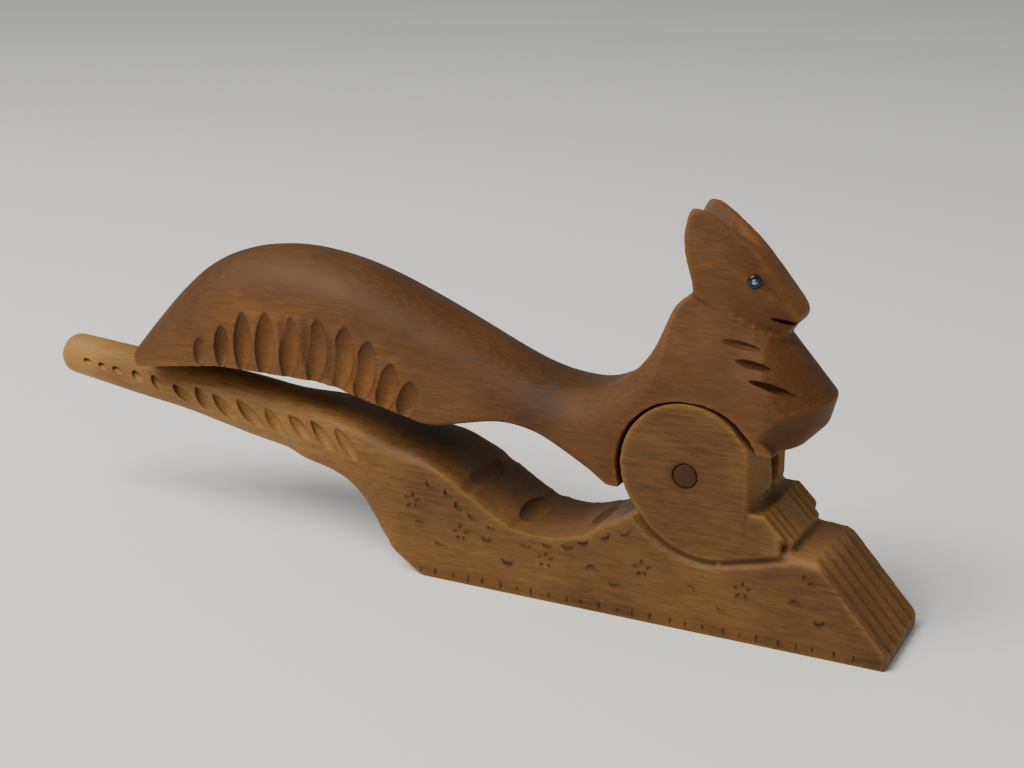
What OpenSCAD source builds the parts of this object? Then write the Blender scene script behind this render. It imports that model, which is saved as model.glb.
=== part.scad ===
// Carved squirrel nutcracker: a wedge base with a rod handle, a squirrel lever hinged
// on a wooden dowel between two cheeks, and two eyes, each a bead held by a brad.
// Units are millimetres. X runs from the handle end to the squirrel's nose side,
// Y across the board, Z up. Z = 0 is the face the base stands on, Y = 0 its middle.

/* [Board] */
// thickness of the board both parts are carved from
board_w = 30; // [24:36]
// X of the front end of the base
front_x = 133.9; // [120:150]

/* [Hinge] */
// X of the dowel's axis
hinge_x = 79; // [70:90]
// Z of the dowel's axis
hinge_z = 42.9; // [38:48]
// radius of the wooden dowel
dowel_r = 3.4; // [2.5:0.1:4.5]
// how far each dowel end sits below the side of the base
dowel_sunk = 0.3; // [0:0.1:1]
// radial clearance of the lever's hole on the dowel
hinge_play = 0.05; // [0.01:0.01:0.1]
// width of the slot between the cheeks
slot_w = 6.2; // [4:0.1:9]
// gap on each side of the tongue in the slot
tongue_gap = 0.3; // [0.2:0.1:0.6]
// radius of the rounded end of the tongue
tongue_r = 12.5; // [9:15]

/* [Haunch] */
// radius of the round top of each cheek
haunch_r = 18; // [15:20]
// how far the centre of that round lies above the dowel
haunch_rise = 1.3; // [0:0.1:2]
// radius of the swell at the front of each cheek
cheek_swell_r = 15; // [13:17]
// how far that swell's centre lies in front of the dowel
cheek_reach = 5; // [3:0.1:6]
// X of the cheek's front edge at its outer face
cheek_edge_x = 96.3; // [94:98]
// rounding of the cheek's front corners
cheek_corner = 9; // [4:12]

/* [Handle] */
// radius of the handle's round end
handle_end_r = 6.1; // [5:8]
// radius of the handle at its bend
handle_bend_r = 7.7; // [6:9]
// radius of the handle where it leaves the block
handle_root_r = 9.8; // [9:12]

/* [Squirrel] */
// radius of the rounded edges along the tail and back
back_edge_r = 9; // [6:10]
// radius across the rounded chest
chest_r = 17; // [16:24]
// half the width of the head at the cheeks
head_half_w = 10.6; // [9:12]
// radius of the tail tip seen from above
tail_tip_r = 20; // [16:30]

/* [Carving] */
// flutes on each side of the tail
flutes = 10; // [6:12]
// depth of a flute
flute_depth = 1.5; // [0.5:0.1:2.5]
// grooves down the front slope of the base
slope_grooves = 5; // [3:7]
// grooves down each foot, toe to toe
toe_grooves = 3; // [2:4]
// depth of the slope and toe grooves
groove_depth = 0.7; // [0.3:0.1:1.2]
// depth of the cut line round the haunch
haunch_line_depth = 1.2; // [0.5:0.1:2]

/* [Eyes] */
// radius of an eye bead
bead_r = 1.9; // [1.5:0.1:2.5]
// radius of the brad's shank
brad_r = 0.5; // [0.4:0.1:0.8]
// radius of the brad's domed head
brad_head_r = 0.9; // [0.7:0.1:1.2]
// X of each eye
eye_x = 94; // [90:98]
// Z of each eye
eye_z = 94.7; // [90:98]

/* [Hidden] */
$fn = 96;

half_w = board_w / 2;
// clearance beyond a face wherever a cutter has to pass right through it
over = 2;
tongue_w = slot_w - 2 * tongue_gap;
haunch_z = hinge_z + haunch_rise;
// depth from the head's side to the middle of the bead
eye_y = 10.2;
// a round-over is stopped this far short of the surfaces, leaving a soft line
edge_quirk = 0.3;

// ends of the front slope and of the toes, each [x, z, radius]
slope_top = [114.8, 25.4, 3];
slope_foot = [front_x, 4, 0.8];
toe_top = [100, 36, 1];
toe_tip = [107.4, 28.6, 0.8];
// middle of the handle where it leaves the block, at its bend and in its round end
root = [-46, 34.5];
bend = [-84, 39.6];
tip = [6 - front_x, 43];

// ---------------------------------------------------------------- outlines

function unit(v) = v / norm(v);
function flat(v) = [v.x, v.y];

// centre of the arc that rounds corner b between its neighbours a and c
function arc_centre(a, b, c, r) =
    let (u = unit(a - b), v = unit(c - b), half = acos(u * v) / 2)
    b + unit(u + v) * r / sin(half);

// distance from corner b to the ends of its arc
function arc_setback(a, b, c, r) =
    let (half = acos(unit(a - b) * unit(c - b)) / 2) r / tan(half);

// points of that arc, walked from a towards c
function arc_points(a, b, c, r) =
    let (
        o = arc_centre(a, b, c, r),
        t = arc_setback(a, b, c, r),
        p = b + unit(a - b) * t - o,
        q = b + unit(c - b) * t - o,
        start = atan2(p.y, p.x),
        turn = (atan2(q.y, q.x) - start + 540) % 360 - 180,
        steps = max(2, ceil(abs(turn) / 360 * sqrt(r) * 16))
    )
    [for (i = [0 : steps]) o + r * [cos(start + turn * i / steps), sin(start + turn * i / steps)]];

// closed outline from corners [x, z, radius]
function rounded(corners) =
    let (n = len(corners))
    [for (i = [0 : n - 1])
        let (b = corners[i], a = corners[(i + n - 1) % n], c = corners[(i + 1) % n])
        each (b[2] > 0 ? arc_points(flat(a), flat(b), flat(c), b[2]) : [flat(b)])];

// a side outline (X, Z) given thickness w across the board
module across(w) {
    rotate([90, 0, 0])
        linear_extrude(w, center = true)
            children();
}

// tail tip to neck, along the top of the squirrel
back_line = [
    [-103.1, 48.3, 0],
    [-71, 83, 36],
    [-28.5, 87.5, 95],
    [47.5, 54.5, 25],
    [66, 70.3, 30],
    [72.7, 86.2, 11],
    [79, 91, 0]
];

// chin to the lower tip of the chest
chest_line = [
    [99.7, 80.2, 0],
    [113.4, 64.9, 0],
    [111.4, 57.4, 0],
    [105.6, 51.3, 0],
    [97.4, 51.4, 0.8]
];

// lug beside the haunch, back under the body and tail to the tail tip
belly_line = [
    [61.8, 36.8, 0],
    [57.2, 36.4, 3],
    [31.5, 50.4, 30],
    [3, 43.6, 18],
    [-27.7, 52.2, 60],
    [-64, 52.2, 60],
    [-91, 48.3, 20]
];

head_line = [
    [78, 88, 0],
    [73.2, 103.5, 22],
    [75.4, 111.4, 1.5],
    [79.5, 110.4, 2],
    [93.2, 100.5, 40],
    [105.2, 84.8, 2.4],
    [102.6, 82.9, 0],
    [101.6, 82.2, 0],
    [100.4, 79.9, 0.8]
];

// top of the base from the rear sweep to the foot of the haunch, and back below
base_line = [
    [front_x, 0.6, 0],
    slope_foot,
    slope_top,
    [106.7, 26.4, 0],
    [90, 27, 0],
    [66, 31, 0],
    [61.5, 27.8, 0],
    [37.5, 14.2, 26],
    [2.5, 35.7, 22],
    [root.x, root.y + handle_root_r + 0.2, 0],
    [root.x, root.y - handle_root_r - 0.2, 0],
    [-24.5, 24.2, 26],
    [-1.5, 0, 2.5],
    [front_x - 0.6, 0, 0]
];

foot_line = [
    [88, 24, 0],
    [106.5, 24, 0],
    toe_tip,
    toe_top,
    [96.4, 35.4, 1],
    [88, 36, 0]
];

// ---------------------------------------------------------------- cutters

// waste beside a rounded edge: x is outwards from the outline, y across the board
module edge_waste() {
    for (side = [-1, 1])
        difference() {
            translate([(over - back_edge_r) / 2, side * (half_w + (over - back_edge_r) / 2)])
                square(back_edge_r + over, center = true);
            translate([edge_quirk - back_edge_r, side * (half_w + edge_quirk - back_edge_r)])
                circle(back_edge_r);
        }
}

// places children with x running from a to b and z outwards from the outline
module along(a, b) {
    translate([a.x, 0, a.y])
        rotate([0, -atan2(b.y - a.y, b.x - a.x), 0])
            children();
}

// round-over of one corner of the back line
module corner_waste(a, b, c, r) {
    o = arc_centre(a, b, c, r);
    t = arc_setback(a, b, c, r);
    p = b + unit(a - b) * t - o;
    q = b + unit(c - b) * t - o;
    start = atan2(p.y, p.x);
    turn = (atan2(q.y, q.x) - start + 540) % 360 - 180;
    translate([o.x, 0, o.y])
        rotate([90, 0, 0])
            rotate([0, 0, min(start, start + turn)])
                rotate_extrude(angle = abs(turn))
                    translate([r, 0])
                        mirror([turn > 0 ? 1 : 0, 0])
                            edge_waste();
}

// round-over of one straight of the back line
module straight_waste(a, b) {
    along(a, b)
        rotate([90, 0, 90])
            linear_extrude(norm(b - a))
                mirror([1, -1])
                    edge_waste();
}

function line_setback(i) =
    back_line[i][2] > 0
        ? arc_setback(flat(back_line[i - 1]), flat(back_line[i]), flat(back_line[i + 1]), back_line[i][2])
        : 0;

module back_waste() {
    last = len(back_line) - 1;
    for (i = [1 : last - 1])
        corner_waste(flat(back_line[i - 1]), flat(back_line[i]), flat(back_line[i + 1]), back_line[i][2]);
    for (i = [0 : last - 1]) {
        a = flat(back_line[i]);
        b = flat(back_line[i + 1]);
        straight_waste(a + unit(b - a) * line_setback(i), b - unit(b - a) * line_setback(i + 1));
    }
}

// leaves the chest round from side to side along one straight of its outline
module chest_waste(a, b) {
    reach = norm(b - a) + 2 * over;
    depth = chest_r - 2 * over;
    along(a, b)
        translate([-over, 0, 0])
            difference() {
                translate([0, -half_w - over, -depth])
                    cube([reach, board_w + 2 * over, depth + over]);
                translate([-over, 0, -chest_r - 0.15])
                    rotate([0, 90, 0])
                        cylinder(r = chest_r, h = reach + 2 * over);
            }
}

// draws the neck in from the full width of the board to the width of the head
module neck_waste() {
    low_z = 66;
    sweep = 50;
    for (side = [-1, 1])
        translate([55, 0, low_z])
            difference() {
                translate([0, side > 0 ? 6 : -half_w - over, 0])
                    cube([60, half_w + over - 6, 28]);
                translate([-over, side * (half_w - 0.1 - sweep), 0])
                    rotate([0, 90, 0])
                        cylinder(r = sweep, h = 60 + 2 * over);
            }
}

// a gouge cut, as long as stated along x, biting depth into a face at z = 0
module gouge(length, depth, r) {
    sweep = length * length / (8 * depth) - r;
    translate([0, 0, sweep + r - depth])
        rotate([90, 0, 0])
            rotate_extrude()
                translate([sweep, 0])
                    circle(r);
}

// ---------------------------------------------------------------- base

module cheek_outline() {
    translate([hinge_x, haunch_z])
        circle(haunch_r);
    translate([hinge_x + cheek_reach, hinge_z + 0.3])
        circle(cheek_swell_r);
    translate([70, 24])
        square([cheek_edge_x + 1.5 - 70, haunch_z - 24]);
}

// both cheeks as one, their front rounded from side to side
module haunch() {
    front = hinge_x + cheek_reach + cheek_swell_r;
    intersection() {
        across(board_w)
            cheek_outline();
        linear_extrude(haunch_z + haunch_r + over)
            polygon(rounded([
                [55, -half_w, 0],
                [cheek_edge_x - 0.6, -half_w, 1.2],
                [front + 0.1, -half_w / 3, cheek_corner],
                [front + 0.1, half_w / 3, cheek_corner],
                [cheek_edge_x - 0.6, half_w, 1.2],
                [55, half_w, 0]
            ]));
    }
}

// room for the tongue: round below the dowel, open above it from front to back
module slot() {
    low_front = 17;
    low_back = 203;
    reach = 45;
    across(slot_w) {
        translate([hinge_x, hinge_z])
            circle(tongue_r + 0.5);
        translate([hinge_x, hinge_z])
            polygon([
                [0, 0],
                reach * [cos(low_front), -sin(low_front)],
                [reach, reach],
                [-reach, reach],
                reach * [cos(low_back), sin(low_back)]
            ]);
    }
}

// a tapering round rod from a to b
module rod(a, b, ra, rb) {
    translate([a.x, 0, a.y])
        rotate([0, 90 - atan2(b.y - a.y, b.x - a.x), 0])
            cylinder(r1 = ra, r2 = rb, h = norm(b - a));
}

// the handle: two tapering lengths with a ball at the bend, the second one with a blunt round end
module handle() {
    ball_proud = 0.15;
    blunt = 6.2;
    run = norm(tip - bend);
    rod(root, bend, handle_root_r, handle_bend_r);
    translate([bend.x, 0, bend.y]) {
        sphere(handle_bend_r + ball_proud);
        rotate([0, 90 - atan2(tip.y - bend.y, tip.x - bend.x), 0])
            rotate_extrude()
                polygon(rounded([
                    [0, 0, 0],
                    [handle_bend_r, 0, 0],
                    [handle_end_r, run + blunt, 4.6],
                    [0, run + blunt, 0]
                ]));
    }
}

// the wedge block, drawn in at the rear until it is as round as the handle
module block() {
    spread = 0.42;
    reach = 200;
    intersection() {
        across(board_w)
            polygon(rounded(base_line));
        linear_extrude(board_w * 2)
            polygon(rounded([
                [root.x - 1, -handle_root_r - 0.1, 0],
                [-8, -half_w, 40],
                [front_x - 0.8, -half_w, 0],
                [front_x + 0.1, -half_w + 0.9, 0],
                [front_x + 0.1, half_w - 0.9, 0],
                [front_x - 0.8, half_w, 0],
                [-8, half_w, 40],
                [root.x - 1, handle_root_r + 0.1, 0]
            ]));
        rod(root, root + reach * unit(root - bend), handle_root_r, handle_root_r + spread * reach);
    }
}

// hollow-ground edges of the block beside the foot
module plateau_chamfers() {
    for (side = [-1, 1])
        translate([118, side * half_w, 27.6])
            rotate([45, 0, 0])
                cube([26, 5, 5], center = true);
}

// grooves that run down the front slope
module slope_cuts() {
    r = 2.2;
    pitch = board_w / (slope_grooves + 0.6);
    along(slope_top, slope_foot)
        for (i = [0 : slope_grooves - 1])
            translate([-over * 3, (i - (slope_grooves - 1) / 2) * pitch, r - groove_depth])
                rotate([0, 90, 0])
                    cylinder(r = r, h = norm(slope_foot - slope_top) + over * 6);
}

// grooves that part the toes
module toe_cuts() {
    r = 1.4;
    pitch = (half_w - slot_w / 2) / (toe_grooves + 0.4);
    along(toe_top, toe_tip)
        for (side = [-1, 1], i = [0 : toe_grooves - 1])
            translate([-over, side * (slot_w / 2 + pitch * (i + 0.6)), r - groove_depth])
                rotate([0, 90, 0])
                    cylinder(r = r, h = norm(toe_tip - toe_top) + over * 2);
}

// the cut line that sets the haunch and foot off from the block
module haunch_lines() {
    centre = [85.5, 44.2];
    r = 24.1;
    leave = 278;
    tip = [107.5, 25.2];
    for (side = [-1, 1])
        translate([0, side * half_w, 0]) {
            translate([centre.x, 0, centre.y])
                rotate([90, 0, 0])
                    rotate([0, 0, 214])
                        rotate_extrude(angle = leave - 214)
                            translate([r, 0])
                                circle(haunch_line_depth, $fn = 4 * 12);
            along(centre + r * [cos(leave), sin(leave)], tip)
                rotate([0, 90, 0])
                    cylinder(r = haunch_line_depth, h = norm(tip - centre - r * [cos(leave), sin(leave)]));
        }
}

// the carved step between the foot and the cheek's front
module foot_notch() {
    across(board_w + 2 * over)
        translate([98.9, 37.6])
            circle(2.2);
}

// three shallow grooves across the nut seat, each [x, z, tilt of the surface there]
module seat_cuts() {
    r = 6;
    depth = 0.9;
    for (cut = [[15, 28.6, 39], [30.3, 20.1, 20], [51, 22.2, -26]])
        translate([cut[0], 0, cut[1]])
            rotate([0, cut[2], 0])
                translate([0, 0, r - depth])
                    rotate([90, 0, 0])
                        cylinder(r = r, h = board_w + over, center = true);
}

module base() {
    color("#8a5528")
        difference() {
            union() {
                block();
                handle();
                haunch();
                across(board_w - 0.6)
                    polygon(rounded(foot_line));
            }
            slot();
            foot_notch();
            slope_cuts();
            toe_cuts();
            haunch_lines();
            plateau_chamfers();
            seat_cuts();
            translate([hinge_x, 0, hinge_z])
                rotate([90, 0, 0])
                    cylinder(r = dowel_r, h = board_w + over, center = true);
        }
}

// ---------------------------------------------------------------- lever

// room for the haunch in the lever, wide enough at every angle it swings to
module haunch_room() {
    across(board_w + 2 * over) {
        translate([hinge_x - 0.45, hinge_z + 0.9])
            circle(haunch_r + 0.7);
        translate([hinge_x + 1.2, hinge_z + 0.4])
            circle(haunch_r + 1.2);
        polygon([
            [hinge_x - 25, hinge_z - 25],
            [hinge_x + 30, hinge_z - 25],
            [97.2, 51.9],
            [92, 58],
            [hinge_x, hinge_z],
            [hinge_x - 18, hinge_z - 6]
        ]);
    }
}

// the body's outline from tail tip to chest
module body_outline() {
    polygon(rounded(concat(back_line, chest_line, [[hinge_x, hinge_z, 0]], belly_line)));
}

module body() {
    difference() {
        intersection() {
            across(board_w)
                body_outline();
            // tail tip rounded as seen from above
            union() {
                translate([tail_tip_r - 104, 0, 0])
                    cylinder(r = tail_tip_r, h = 120);
                translate([tail_tip_r - 104, -half_w - over, 0])
                    cube([220, board_w + 2 * over, 120]);
            }
        }
        back_waste();
        neck_waste();
        for (i = [0 : 2])
            chest_waste(flat(chest_line[i]), flat(chest_line[i + 1]));
        haunch_room();
    }
}

module head() {
    difference() {
        intersection() {
            across(board_w)
                polygon(rounded(head_line));
            linear_extrude(120)
                polygon(rounded([
                    [70, -head_half_w + 2.2, 0],
                    [84, -head_half_w, 20],
                    [95, -head_half_w + 0.2, 14],
                    [106.5, -3.4, 3],
                    [106.5, 3.4, 3],
                    [95, head_half_w - 0.2, 14],
                    [84, head_half_w, 20],
                    [70, head_half_w - 2.2, 0]
                ]));
            rotate([90, 0, 90])
                linear_extrude(120)
                    polygon(rounded([
                        [-7.5, 78, 0],
                        [-head_half_w - 0.6, 90, 12],
                        [-7.6, 110, 5],
                        [-5.2, 114, 0],
                        [5.2, 114, 0],
                        [7.6, 110, 5],
                        [head_half_w + 0.6, 90, 12],
                        [7.5, 78, 0]
                    ]));
        }
        // the valley between the ears
        along([66, 105.8], [95, 100])
            rotate([90, 0, 90])
                linear_extrude(30)
                    polygon([[-9, 10.5], [0, 0], [9, 10.5]]);
    }
}

// the tongue that fills the slot and turns on the dowel
module tongue() {
    across(tongue_w)
        intersection() {
            body_outline();
            union() {
                translate([hinge_x, hinge_z])
                    circle(tongue_r);
                translate([hinge_x, hinge_z])
                    polygon([
                        [0, 0],
                        45 * [cos(48), sin(48)],
                        [0, 60],
                        [-60, 20],
                        45 * [cos(195), sin(195)]
                    ]);
            }
        }
    translate([hinge_x, 0, hinge_z])
        rotate([90, 0, 0])
            cylinder(r = tongue_r, h = tongue_w, center = true);
}

// flutes up the tail's sides from its lower edge, longest in the middle
module tail_flutes() {
    first_x = -70.7;
    last_x = -3.3;
    longest = 19.5;
    widest_r = 3.4;
    for (side = [-1, 1], i = [0 : flutes - 1]) {
        t = i / (flutes - 1);
        length = 7 + (longest - 7) * sin(180 * (0.02 + 0.9 * t));
        size = length / longest;
        foot_z = 52.6 - 8 * pow(t, 3);
        lean = 18 * t * t;
        translate([first_x + (last_x - first_x) * t, side * half_w, foot_z + length / 2])
            rotate([-side * 90, 0, 0])
                rotate([0, 0, 90 - side * lean])
                    gouge(length, flute_depth * size, widest_r * size);
    }
}

// three knife cuts that cross from the chest's front to each side
module chest_cuts() {
    round_to_side = 52;
    slant = 41;
    for (side = [-1, 1], i = [0 : 2])
        along(flat(chest_line[0]), flat(chest_line[1]))
            translate([-4.6 + 6.8 * i, 0, -chest_r])
                rotate([-side * round_to_side, 0, 0])
                    translate([0, 0, chest_r - 0.15])
                        rotate([0, 0, -side * slant])
                            gouge(10.5, 0.8, 0.9);
}

module squirrel_lever() {
    color("#7a4420")
        difference() {
            union() {
                body();
                head();
                tongue();
            }
            tail_flutes();
            chest_cuts();
            translate([hinge_x, 0, hinge_z])
                rotate([90, 0, 0])
                    cylinder(r = dowel_r + hinge_play, h = board_w, center = true);
            for (side = [-1, 1])
                eye_hole(side);
        }
}

// ---------------------------------------------------------------- small pieces

module hinge_dowel() {
    color("#6b3d1e")
        translate([hinge_x, 0, hinge_z])
            rotate([90, 0, 0])
                cylinder(r = dowel_r, h = board_w - 2 * dowel_sunk, center = true);
}

// seat of one bead and the brad's hole behind it
module eye_hole(side) {
    translate([eye_x, side * eye_y, eye_z]) {
        sphere(bead_r);
        rotate([side * 90, 0, 0])
            cylinder(r = brad_r, h = 6);
    }
}

module bead(side) {
    color("#101012")
        translate([eye_x, side * eye_y, eye_z])
            difference() {
                sphere(bead_r);
                rotate([90, 0, 0])
                    cylinder(r = brad_r, h = 4 * bead_r, center = true);
            }
}

// shank through the bead into the wood, and a low domed head on the bead
module brad(side) {
    head_rise = 0.35;
    dome_r = (brad_head_r * brad_head_r + head_rise * head_rise) / (2 * head_rise);
    seat = sqrt(bead_r * bead_r - brad_head_r * brad_head_r);
    color("#b9bcc0")
        translate([eye_x, side * eye_y, eye_z])
            rotate([-side * 90, 0, 0]) {
                translate([0, 0, -6])
                    cylinder(r = brad_r, h = 6 + bead_r + head_rise / 2);
                intersection() {
                    translate([0, 0, bead_r + head_rise - dome_r])
                        sphere(dome_r);
                    difference() {
                        translate([0, 0, seat])
                            cylinder(r = brad_head_r, h = bead_r);
                        sphere(bead_r);
                    }
                }
            }
}

module left_eye_bead() {
    bead(1);
}

module right_eye_bead() {
    bead(-1);
}

module left_eye_brad() {
    brad(1);
}

module right_eye_brad() {
    brad(-1);
}

base();
squirrel_lever();
hinge_dowel();
left_eye_bead();
right_eye_bead();
left_eye_brad();
right_eye_brad();
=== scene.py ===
import logging
import math
from dataclasses import dataclass, replace
from enum import Enum

import bpy
import numpy as np
from mathutils import Matrix, Vector
from mathutils.kdtree import KDTree

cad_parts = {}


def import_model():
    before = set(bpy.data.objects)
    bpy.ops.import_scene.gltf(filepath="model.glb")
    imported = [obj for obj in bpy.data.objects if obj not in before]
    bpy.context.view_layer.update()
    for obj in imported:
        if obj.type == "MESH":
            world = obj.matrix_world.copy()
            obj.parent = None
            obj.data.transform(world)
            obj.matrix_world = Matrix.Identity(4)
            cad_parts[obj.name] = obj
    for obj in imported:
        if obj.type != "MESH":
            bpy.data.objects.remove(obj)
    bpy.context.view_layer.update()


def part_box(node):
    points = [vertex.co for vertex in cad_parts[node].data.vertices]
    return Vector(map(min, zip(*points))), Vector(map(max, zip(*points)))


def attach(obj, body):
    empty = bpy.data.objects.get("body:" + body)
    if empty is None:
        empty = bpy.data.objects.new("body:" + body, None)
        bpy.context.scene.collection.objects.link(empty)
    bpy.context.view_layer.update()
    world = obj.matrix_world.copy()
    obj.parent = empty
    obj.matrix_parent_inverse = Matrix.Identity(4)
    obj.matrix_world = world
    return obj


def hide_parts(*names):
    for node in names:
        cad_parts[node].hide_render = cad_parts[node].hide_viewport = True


log = logging.getLogger("squirrel_nutcracker")

MM = 0.001


# ---------------------------------------------------------------- small tools


def linear(hex_colour: str, alpha: float = 1.0) -> tuple[float, float, float, float]:
    """Turns an sRGB hex colour into the linear values a shader takes.

    Args:
        hex_colour: Six hex digits, with or without a leading #.
        alpha: The fourth value.

    Returns:
        Red, green, blue and alpha in linear light.
    """
    digits = hex_colour.lstrip("#")
    parts = []
    for start in (0, 2, 4):
        value = int(digits[start:start + 2], 16) / 255
        parts.append(value / 12.92 if value <= 0.04045 else ((value + 0.055) / 1.055) ** 2.4)
    return (parts[0], parts[1], parts[2], alpha)


def add(tree: bpy.types.NodeTree, kind: str, inputs: dict | None = None,
        stops: list[tuple[float, str]] | None = None, **settings: object) -> bpy.types.Node:
    """Adds a shader node with its settings, values and links.

    Args:
        tree: The material's node tree.
        kind: The node's type name.
        inputs: Socket name or number to a value, or to an output socket to link from.
        stops: Places and sRGB hex colours of a colour ramp.
        **settings: Attributes of the node.

    Returns:
        The new node.
    """
    node = tree.nodes.new(kind)
    for name, value in settings.items():
        setattr(node, name, value)
    for socket, value in (inputs or {}).items():
        if isinstance(value, bpy.types.NodeSocket):
            tree.links.new(value, node.inputs[socket])
        else:
            node.inputs[socket].default_value = value
    for number, (place, colour) in enumerate(stops or []):
        element = (node.color_ramp.elements[number] if number < 2
                   else node.color_ramp.elements.new(place))
        element.position = place
        element.color = linear(colour)
    return node


def deselect() -> None:
    """Leaves edit mode and deselects everything."""
    if bpy.context.object and bpy.context.object.mode != "OBJECT":
        bpy.ops.object.mode_set(mode="OBJECT")
    bpy.ops.object.select_all(action="DESELECT")


def choose(*objects: bpy.types.Object) -> None:
    """Selects these objects alone and makes the first one active.

    Args:
        objects: The objects, the active one first.
    """
    deselect()
    for thing in objects:
        thing.select_set(True)
    bpy.context.view_layer.objects.active = objects[0]


def settle(thing: bpy.types.Object) -> None:
    """Puts an object's place, turn and size into its mesh.

    Args:
        thing: The object.
    """
    choose(thing)
    bpy.ops.object.transform_apply(location=True, rotation=True, scale=True)


def join(things: list[bpy.types.Object], name: str) -> bpy.types.Object:
    """Joins objects into one and names it.

    Args:
        things: The objects.
        name: The name of the joined object and its mesh.

    Returns:
        The joined object.
    """
    for thing in things:
        settle(thing)
    choose(*things)
    if len(things) > 1:
        bpy.ops.object.join()
    made = bpy.context.object
    made.name = name
    made.data.name = name
    return made


def modify(thing: bpy.types.Object, kind: str, **settings: object) -> None:
    """Adds a modifier with its settings and applies it.

    Args:
        thing: The mesh object.
        kind: The modifier's type name.
        **settings: Attributes of the modifier.
    """
    choose(thing)
    modifier = thing.modifiers.new(kind.lower(), kind)
    for name, value in settings.items():
        setattr(modifier, name, value)
    bpy.ops.object.modifier_apply(modifier=modifier.name)


def places(thing: bpy.types.Object) -> np.ndarray:
    """A mesh's vertex places as rows of x, y, z.

    Args:
        thing: The mesh object.

    Returns:
        The places in metres.
    """
    flat = np.empty(len(thing.data.vertices) * 3, np.float32)
    thing.data.vertices.foreach_get("co", flat)
    return flat.reshape(-1, 3).astype(float)


def normals(thing: bpy.types.Object) -> np.ndarray:
    """A mesh's vertex normals as rows of x, y, z.

    Args:
        thing: The mesh object.

    Returns:
        The unit normals.
    """
    flat = np.empty(len(thing.data.vertices) * 3, np.float32)
    thing.data.vertices.foreach_get("normal", flat)
    return flat.reshape(-1, 3).astype(float)


def put(thing: bpy.types.Object, where: np.ndarray) -> None:
    """Moves a mesh's vertices to these places.

    Args:
        thing: The mesh object.
        where: The new places, one row for each vertex.
    """
    thing.data.vertices.foreach_set("co", where.astype(np.float32).ravel())
    thing.data.update()


def ramp(value: np.ndarray, low: float, high: float) -> np.ndarray:
    """A soft step from 0 at low to 1 at high.

    Args:
        value: Any numbers.
        low: Where the step starts.
        high: Where it ends.

    Returns:
        Numbers from 0 to 1.
    """
    t = np.clip((value - low) / (high - low), 0, 1)
    return t * t * (3 - 2 * t)


def relaxed(thing: bpy.types.Object, where: np.ndarray, rounds: int) -> np.ndarray:
    """Moves or blurs values over a mesh towards the mean of their neighbours.

    Args:
        thing: The mesh object whose edges say which vertices are neighbours.
        where: One row of values for each vertex.
        rounds: How many times each is replaced by the mean.

    Returns:
        The blurred rows.
    """
    edges = np.empty(len(thing.data.edges) * 2, np.int32)
    thing.data.edges.foreach_get("vertices", edges)
    a, b = edges.reshape(-1, 2).T
    count = np.bincount(a, minlength=len(where)) + np.bincount(b, minlength=len(where))
    count = np.maximum(count, 1)[:, None]
    for _ in range(rounds):
        total = np.stack([np.bincount(a, where[b, k], len(where)) +
                          np.bincount(b, where[a, k], len(where))
                          for k in range(where.shape[1])], axis=1)
        where = 0.5 * where + 0.5 * total / count
    return where


def store(thing: bpy.types.Object, name: str, values: np.ndarray) -> None:
    """Keeps one number for each vertex in a named attribute that a finish reads.

    Args:
        thing: The mesh object.
        name: The attribute's name.
        values: The numbers.
    """
    old = thing.data.attributes.get(name)
    if old:
        thing.data.attributes.remove(old)
    kept = thing.data.attributes.new(name, "FLOAT", "POINT")
    kept.data.foreach_set("value", values.astype(np.float32))


def recall(thing: bpy.types.Object, name: str) -> np.ndarray:
    """The numbers kept in a named attribute, one for each vertex.

    Args:
        thing: The mesh object.
        name: The attribute's name.

    Returns:
        The numbers, or zeros where the attribute is missing.
    """
    values = np.zeros(len(thing.data.vertices), np.float32)
    kept = thing.data.attributes.get(name)
    if kept:
        kept.data.foreach_get("value", values)
    return values


def dress(thing: bpy.types.Object, finish: bpy.types.Material) -> None:
    """Gives the whole object one finish.

    Args:
        thing: The object.
        finish: The material.
    """
    thing.data.materials.clear()
    thing.data.materials.append(finish)


def new_finish(name: str) -> tuple[bpy.types.Material, bpy.types.NodeTree]:
    """Starts a material with an empty node tree.

    Args:
        name: The material's name.

    Returns:
        The material and its node tree.
    """
    made = bpy.data.materials.new(name)
    made.use_nodes = True
    made.node_tree.nodes.clear()
    return made, made.node_tree


# ---------------------------------------------------------------- finishes


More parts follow.
